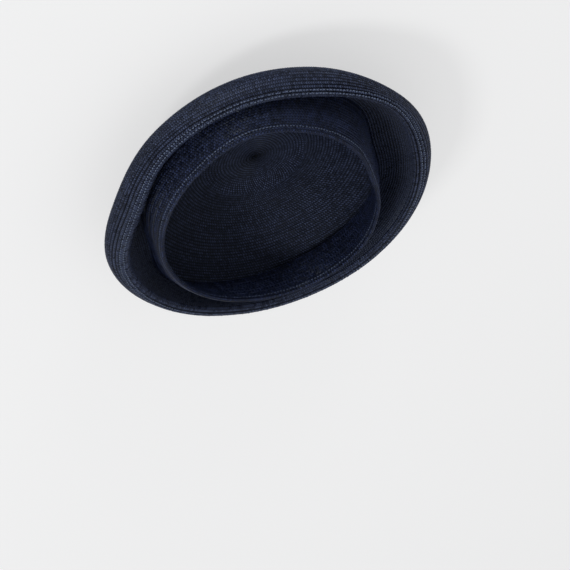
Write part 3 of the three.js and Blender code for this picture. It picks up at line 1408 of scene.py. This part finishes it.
@dataclass
class Crown:
    """Tip, dome, side and lip.

    Attributes:
        form: the hat's form.
        courses: the dome's pieces, from the middle of the tip outward.
        side_rows: rows from the shoulder to the widest line.
        lip_rows: rows of the lip and its fold.
        back_rows: rows of mesh on the hidden back of the side and of the lip.
        columns: mesh columns round the side and the lip.
        side_relief: heights of the side's rows.
        lip_relief: heights of the lip's rows, which stand proud near the fold and on the right.
        lip_gathers: where the lip's rows crowd toward the widest line or spread from it.
        first_rows: numbers of the first rows of the side, the lip and the dome.
        dome_laps: laps on the dome's face and on its back, in metres.
        dome_seed: chooses the small irregularities of the dome's first piece.
    """

    form: HatForm
    courses: tuple[DomeCourse, ...] = (
        DomeCourse(Zone.TIP, 18, 220),
        DomeCourse(Zone.DOME_LOW, 15, 400),
        DomeCourse(Zone.DOME_HIGH, 10, 540),
        DomeCourse(Zone.SHOULDER, 12, 640),
    )
    side_rows: int = 9
    lip_rows: int = 9
    back_rows: int = 4
    columns: int = 820
    side_relief: Relief = Relief(
        lap=0.10 * MM, presses=(Press(335, 44, 0, 8, 6.0), Press(180, 60, 0, 8, 5.0)))
    lip_relief: Relief = Relief(
        lap=0.60 * MM,
        rows=(0.2, 0.2, 0.25, 0.35, 0.6, 1.7, 1.9, 0.25, 0.2),
        presses=(Press(185, 52, 0, 4, 4.4), Press(185, 52, 5, 6, 1.0), Press(185, 52, 7, 8, 3.6),
                 Press(335, 44, 6, 8, 0.15), Press(335, 44, 5, 5, 0.6), Press(335, 44, 4, 4, 2.0),
                 Press(335, 44, 0, 3, 4.6)),
    )
    lip_gathers: tuple[Gather, ...] = (Gather(335, 52, 0.35), Gather(185, 52, -0.12))
    first_rows: tuple[int, int, int] = (100, 150, 200)
    dome_laps: tuple[float, float] = (0.36 * MM, 0.40 * MM)
    dome_seed: int = 21

    def build(self, palette: Palette) -> None:
        """Builds and dresses every part of the crown.

        Args:
            palette: materials and trees.
        """
        side, lip, dome = self.first_rows
        wall = self.form.wall * MM
        self._wall(palette, "crown", RowLayer(
            self.form.table(Zone.SIDE), self.side_rows, self.columns, relief=self.side_relief,
            seed=side, number=side))
        self._wall(palette, None, RowLayer(
            self.form.table(Zone.LIP), self.lip_rows, self.columns, relief=self.lip_relief,
            seed=lip, number=lip, gathers=self.lip_gathers))
        face_relief, back_relief = (Relief(lap=lap) for lap in self.dome_laps)
        for index, course in enumerate(self.courses):
            face = RowLayer(self.form.table(course.zone), course.rows, course.columns,
                            section=FLAT_ROW, relief=face_relief, seed=self.dome_seed + index,
                            number=dome + COURSE_NUMBERS * index, spiral=course.zone is Zone.TIP)
            woven_piece(f"crown_{course.zone.value}",
                        WovenWall(face, face.behind(wall, relief=back_relief)),
                        palette, palette.dome)

    def _wall(self, palette: Palette, node: str | None, face: RowLayer) -> None:
        """Builds a wall whose back is hidden inside the hat.

        Args:
            palette: materials and trees.
            node: the CAD node that it replaces.
            face: its rows.
        """
        back = face.behind(self.form.wall * MM, rows=self.back_rows, section=PLAIN_ROW,
                           relief=HIDDEN, gathers=())
        woven_piece(f"crown_{face.table.zone.value}", WovenWall(face, back), palette,
                    palette.wall, node)


@dataclass
class UnderBrim:
    """The rows that turn in from the lip to the headband.

    Attributes:
        form: the hat's form.
        rows: rows across the channel.
        back_rows: rows of mesh on its hidden back.
        columns: mesh columns round the hat.
        lap: how far each row stands above the groove beside it, in metres.
        first_row: number of its first row.
        seed: chooses the rows' small irregularities.
    """

    form: HatForm
    rows: int = 16
    back_rows: int = 5
    columns: int = 700
    lap: float = 0.5 * MM
    first_row: int = 400
    seed: int = 31

    def build(self, palette: Palette) -> None:
        """Builds and dresses the channel.

        Args:
            palette: materials and trees.
        """
        face = RowLayer(self.form.table(Zone.UNDER_BRIM), self.rows, self.columns,
                        relief=Relief(lap=self.lap), seed=self.seed, number=self.first_row)
        back = face.behind(self.form.wall * MM, rows=self.back_rows, section=PLAIN_ROW,
                           relief=HIDDEN)
        woven_piece("under_brim_rows", WovenWall(face, back), palette, palette.channel,
                    "under_brim")


@dataclass
class Headband:
    """The upright band round the head opening, with its turned hem.

    Attributes:
        form: the hat's form.
        rows: rows up the outside, over the edge and down the inside.
        columns: mesh columns round the band.
        hem_rows: rows of the hem, which stand prouder than the rest.
        ridges: rows that stand up in the fan, two beside each flat one.
        fan: where they stand up, by the wearer's ear.
        relief: heights of the rows away from the fan and the hem.
        hem_share: height of the hem's rows, as a share of the others'.
        first_row: number of its first row.
        seed: chooses the rows' small irregularities.
    """

    form: HatForm
    rows: int = 34
    columns: int = 520
    hem_rows: tuple[int, ...] = (14, 15, 18, 19)
    ridges: tuple[int, ...] = (0, 1, 3, 4, 6, 7, 9, 10, 12, 13)
    fan: Press = Press(354, 40, 0, 0, 26.0)
    relief: Relief = Relief(lap=0.05 * MM, ply=0.17 * MM, waver=0.05)
    hem_share: float = 8.0
    first_row: int = 500
    seed: int = 41

    def build(self, palette: Palette) -> None:
        """Builds and dresses the band.

        Args:
            palette: materials and trees.
        """
        shares = tuple(self.hem_share if row in self.hem_rows else 1.0
                       for row in range(self.rows))
        fan = tuple(replace(self.fan, first=row, last=row) for row in self.ridges)
        woven_piece("headband_rows", WovenWall(RowLayer(
            self.form.table(Zone.HEADBAND), self.rows, self.columns, section=FLAT_ROW,
            relief=replace(self.relief, rows=shares, presses=fan), seed=self.seed,
            number=self.first_row,
        )), palette, palette.band, "headband")


@dataclass(frozen=True)
class StitchLine:
    """One line of sewing round the hat.

    Attributes:
        zone: the stretch of the section it lies on.
        place: where it lies along that stretch, 0 to 1.
        proud: how far the thread's middle stands off the section line, in metres.
    """

    zone: Zone
    place: float
    proud: float


@dataclass
class Stitching:
    """Machine stitches along the lip's top rows and the hem, whose light thread partly paints the
    glints there.

    Attributes:
        form: the hat's form.
        name: the piece's name.
        slot: the record's material slot; not used.
        lines: where the sewing runs.
        pitch: distance from stitch to stitch, in metres.
        points: points of each line.
    """

    form: HatForm
    name: str
    slot: str
    lines: tuple[StitchLine, ...]
    pitch: float = 2.4 * MM
    points: int = 240

    def build(self, palette: Palette) -> None:
        """Builds and dresses the stitches.

        Args:
            palette: materials and trees.
        """
        angles = np.radians(np.linspace(0.0, 360.0, self.points))
        spots, outs, edges = [], [], []
        for number, line in enumerate(self.lines):
            table = self.form.table(line.zone)
            place, out = table.place(angles, np.full(self.points, line.place), line.proud)
            spots.append(place)
            outs.append(out)
            point = np.arange(self.points - 1) + number * self.points
            edges.append(np.stack([point, point + 1], axis=1))
        mesh = bpy.data.meshes.new(self.name)
        mesh.from_pydata(np.concatenate(spots).tolist(), np.concatenate(edges).tolist(), [])
        mesh.attributes.new("out", "FLOAT_VECTOR", "POINT").data.foreach_set(
            "vector", np.concatenate(outs).astype(np.float32).ravel())
        obj = apply_tree(add_object(self.name, mesh), palette.stitches,
                         {"Pitch": self.pitch, "Finish": palette.thread})
        hand_over(obj, palette.thread)


LIP_SEAMS = (
    StitchLine(Zone.LIP, 5.50 / Crown.lip_rows, 0.95 * MM),
    StitchLine(Zone.LIP, 6.50 / Crown.lip_rows, 1.05 * MM),
)
HEM_SEAMS = (
    StitchLine(Zone.HEADBAND, 14.9 / Headband.rows, 0.34 * MM),
    StitchLine(Zone.HEADBAND, 19.1 / Headband.rows, 0.34 * MM),
)


# ------------------------------------------------------------------------------ studio


@dataclass(frozen=True)
class SoftBox:
    """One soft light that faces the hat.

    Attributes:
        name: its name.
        place: where it stands, in metres.
        width: its width, in metres.
        height: its height, in metres.
        power: its power, in watts.
    """

    name: str
    place: tuple[float, float, float]
    width: float
    height: float
    power: float


BOXES = (
    SoftBox("front_box", (-1.2, -2.7, 0.5), 0.7, 0.5, 16.0),
    SoftBox("left_box", (2.0, -0.9, 2.1), 0.7, 0.7, 25.5),
)


# The camera's sensor in millimetres, then its focal length and picture in pixels.
SENSOR, FOCAL_LENGTH, PICTURE_WIDTH = 36.0, 2000.0, 570.0


@dataclass
class Studio:
    """Pale floor, soft lights and the camera.

    Attributes:
        aim: point that the sizes below are measured from, the middle of the rim.
        elevation: camera's height above the horizontal, in degrees.
        roll: turn of the picture, in degrees.
        distance: from the rim's middle to the camera along its view.
        slide: how far the rim's middle lies right of and above the picture's middle.
        lens: focal length on a 36 mm sensor, in millimetres.
        near: nearest distance that the camera sees, in metres.
        sky: strength of the even light from all round.
        sky_colour: its linear colour.
        floor_glow: light that the floor gives of itself, so that shadows on it stay pale.
        floor_grey: linear grey of the floor.
        floor_gloss: the floor's roughness, and the strength of its reflections.
        floor_size: width of the floor, in metres.
        floor_drop: how far the floor lies below the frame's, clear of the tip's raised straws.
    """

    aim: Vector = field(default_factory=lambda: Vector((0.0, 0.0, 0.040)))
    elevation: float = 37.0
    roll: float = 157.0
    distance: float = 1.4
    slide: tuple[float, float] = (-9.1 * MM, 63.4 * MM)
    lens: float = SENSOR * FOCAL_LENGTH / PICTURE_WIDTH
    near: float = 0.05
    sky: float = 0.46
    sky_colour: tuple[float, float, float] = (0.97, 0.98, 1.0)
    floor_glow: float = 0.56
    floor_grey: float = 0.45
    floor_gloss: tuple[float, float] = (0.9, 0.2)
    floor_size: float = 30.0
    floor_drop: float = 0.8 * MM

    def build(self) -> None:
        """Builds everything that isn't the hat."""
        self._camera()
        self._floor()
        self._lights()

    def _axes(self) -> tuple[Vector, Vector, Vector]:
        """Works out how the camera stands.

        Returns:
            Its right, up and backward directions.
        """
        rise, turn = math.radians(self.elevation), math.radians(self.roll)
        level, up = Vector((1, 0, 0)), Vector((0, math.sin(rise), math.cos(rise)))
        back = Vector((0, -math.cos(rise), math.sin(rise)))
        return (level * math.cos(turn) + up * math.sin(turn),
                up * math.cos(turn) - level * math.sin(turn), back)

    def _camera(self) -> None:
        """Places the camera and makes it the scene's own."""
        right, up, back = self._axes()
        data = bpy.data.cameras.new("camera")
        data.lens = self.lens
        data.clip_start = self.near
        camera = add_object("camera", data)
        place = self.aim - right * self.slide[0] - up * self.slide[1] + back * self.distance
        turn = Matrix((right, up, back)).transposed().to_4x4()
        camera.matrix_world = Matrix.Translation(place) @ turn
        bpy.context.scene.camera = camera

    def _floor(self) -> None:
        """A wide pale floor."""
        material = bpy.data.materials.new("pale_floor")
        material.use_nodes = True
        shader = material.node_tree.nodes["Principled BSDF"]
        shader.inputs["Base Color"].default_value = (*[self.floor_grey] * 3, 1.0)
        roughness, shine = self.floor_gloss
        shader.inputs["Roughness"].default_value = roughness
        shader.inputs["Specular IOR Level"].default_value = shine
        shader.inputs["Emission Color"].default_value = (1.0, 1.0, 1.0, 1.0)
        shader.inputs["Emission Strength"].default_value = self.floor_glow
        bpy.ops.mesh.primitive_plane_add(size=self.floor_size,
                                         location=(0.0, 0.0, -self.floor_drop))
        floor = bpy.context.object
        floor.name = "floor"
        floor.data.materials.append(material)
        floor.visible_diffuse = False
        floor.visible_glossy = False

    def _lights(self) -> None:
        """Soft boxes round the hat and an even sky."""
        for box in BOXES:
            data = bpy.data.lights.new(box.name, "AREA")
            data.shape = "RECTANGLE"
            data.size, data.size_y = box.width, box.height
            data.energy = box.power
            light = add_object(box.name, data)
            light.location = box.place
            turn = (self.aim - Vector(box.place)).to_track_quat("-Z", "Y")
            light.rotation_euler = turn.to_euler()
        world = bpy.data.worlds.new("studio")
        bpy.context.scene.world = world
        world.use_nodes = True
        sky = world.node_tree.nodes["Background"]
        sky.inputs["Color"].default_value = (*self.sky_colour, 1.0)
        sky.inputs["Strength"].default_value = self.sky


# ------------------------------------------------------------------------------ the whole hat


def main() -> None:
    """Loads the frame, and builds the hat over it."""
    logging.basicConfig(level=logging.INFO, format="%(name)s: %(message)s")
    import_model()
    bpy.context.scene.view_settings.view_transform = "Standard"
    Studio().build()
    form = HatForm()
    palette = Palette.mixed()
    Crown(form).build(palette)
    UnderBrim(form).build(palette)
    Headband(form).build(palette)
    Stitching(form, "lip_stitches", "navy_straw", LIP_SEAMS).build(palette)
    Stitching(form, "hem_stitches", "navy_band", HEM_SEAMS).build(palette)


if __name__ == "__main__":
    main()
